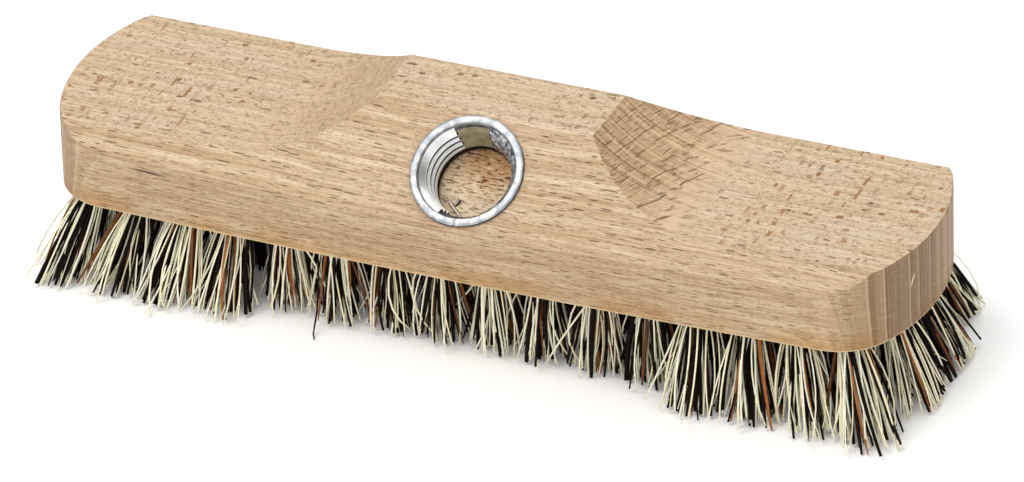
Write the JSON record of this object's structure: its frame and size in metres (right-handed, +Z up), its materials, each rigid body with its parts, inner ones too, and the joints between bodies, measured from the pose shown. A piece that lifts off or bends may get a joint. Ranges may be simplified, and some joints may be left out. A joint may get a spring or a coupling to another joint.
{
  "type": "scrubbing brush head",
  "caption": "Beech scrubbing-brush head with scooped ends, a threaded steel handle socket in its front slope and rows of splayed natural-fibre bristle tufts.",
  "frame": {"origin": "on the floor under the middle of the head, at the plane of the bristle tips", "axes": "+X along the block, +Z up from the bristle tips to the flat top, -Y towards the side whose slope holds the handle socket"},
  "size_m": [0.2298, 0.0762, 0.0552],
  "materials": {
    "beech": "planed and sanded, unvarnished",
    "zinc_steel": "bright zinc plating",
    "plant_fibre": "mixed cream, dark brown and orange-brown stiff plant fibre",
    "staple_wire": "drawn wire, browned"
  },
  "bodies": {
    "root": {"block": "beech", "staples": "staple_wire", "threaded_socket": "zinc_steel", "tuft_back_01": "plant_fibre", "tuft_back_02": "plant_fibre", "tuft_back_03": "plant_fibre", "tuft_back_04": "plant_fibre", "tuft_back_05": "plant_fibre", "tuft_back_06": "plant_fibre", "tuft_back_07": "plant_fibre", "tuft_back_08": "plant_fibre", "tuft_back_09": "plant_fibre", "tuft_back_10": "plant_fibre", "tuft_back_11": "plant_fibre", "tuft_back_12": "plant_fibre", "tuft_back_13": "plant_fibre", "tuft_back_14": "plant_fibre", "tuft_back_15": "plant_fibre", "tuft_back_16": "plant_fibre", "tuft_front_01": "plant_fibre", "tuft_front_02": "plant_fibre", "tuft_front_03": "plant_fibre", "tuft_front_04": "plant_fibre", "tuft_front_05": "plant_fibre", "tuft_front_06": "plant_fibre", "tuft_front_07": "plant_fibre", "tuft_front_08": "plant_fibre", "tuft_front_09": "plant_fibre", "tuft_front_10": "plant_fibre", "tuft_front_11": "plant_fibre", "tuft_front_12": "plant_fibre", "tuft_front_13": "plant_fibre", "tuft_front_14": "plant_fibre", "tuft_front_15": "plant_fibre", "tuft_front_16": "plant_fibre", "tuft_inner_back_01": "plant_fibre", "tuft_inner_back_02": "plant_fibre", "tuft_inner_back_03": "plant_fibre", "tuft_inner_back_04": "plant_fibre", "tuft_inner_back_05": "plant_fibre", "tuft_inner_back_06": "plant_fibre", "tuft_inner_back_07": "plant_fibre", "tuft_inner_back_08": "plant_fibre", "tuft_inner_back_09": "plant_fibre", "tuft_inner_back_10": "plant_fibre", "tuft_inner_back_11": "plant_fibre", "tuft_inner_back_12": "plant_fibre", "tuft_inner_front_01": "plant_fibre", "tuft_inner_front_02": "plant_fibre", "tuft_inner_front_03": "plant_fibre", "tuft_inner_front_04": "plant_fibre", "tuft_inner_front_05": "plant_fibre", "tuft_inner_front_06": "plant_fibre", "tuft_inner_front_07": "plant_fibre", "tuft_inner_front_08": "plant_fibre", "tuft_inner_front_09": "plant_fibre", "tuft_inner_front_10": "plant_fibre", "tuft_inner_front_11": "plant_fibre", "tuft_inner_front_12": "plant_fibre"}
  },
  "joints": []
}
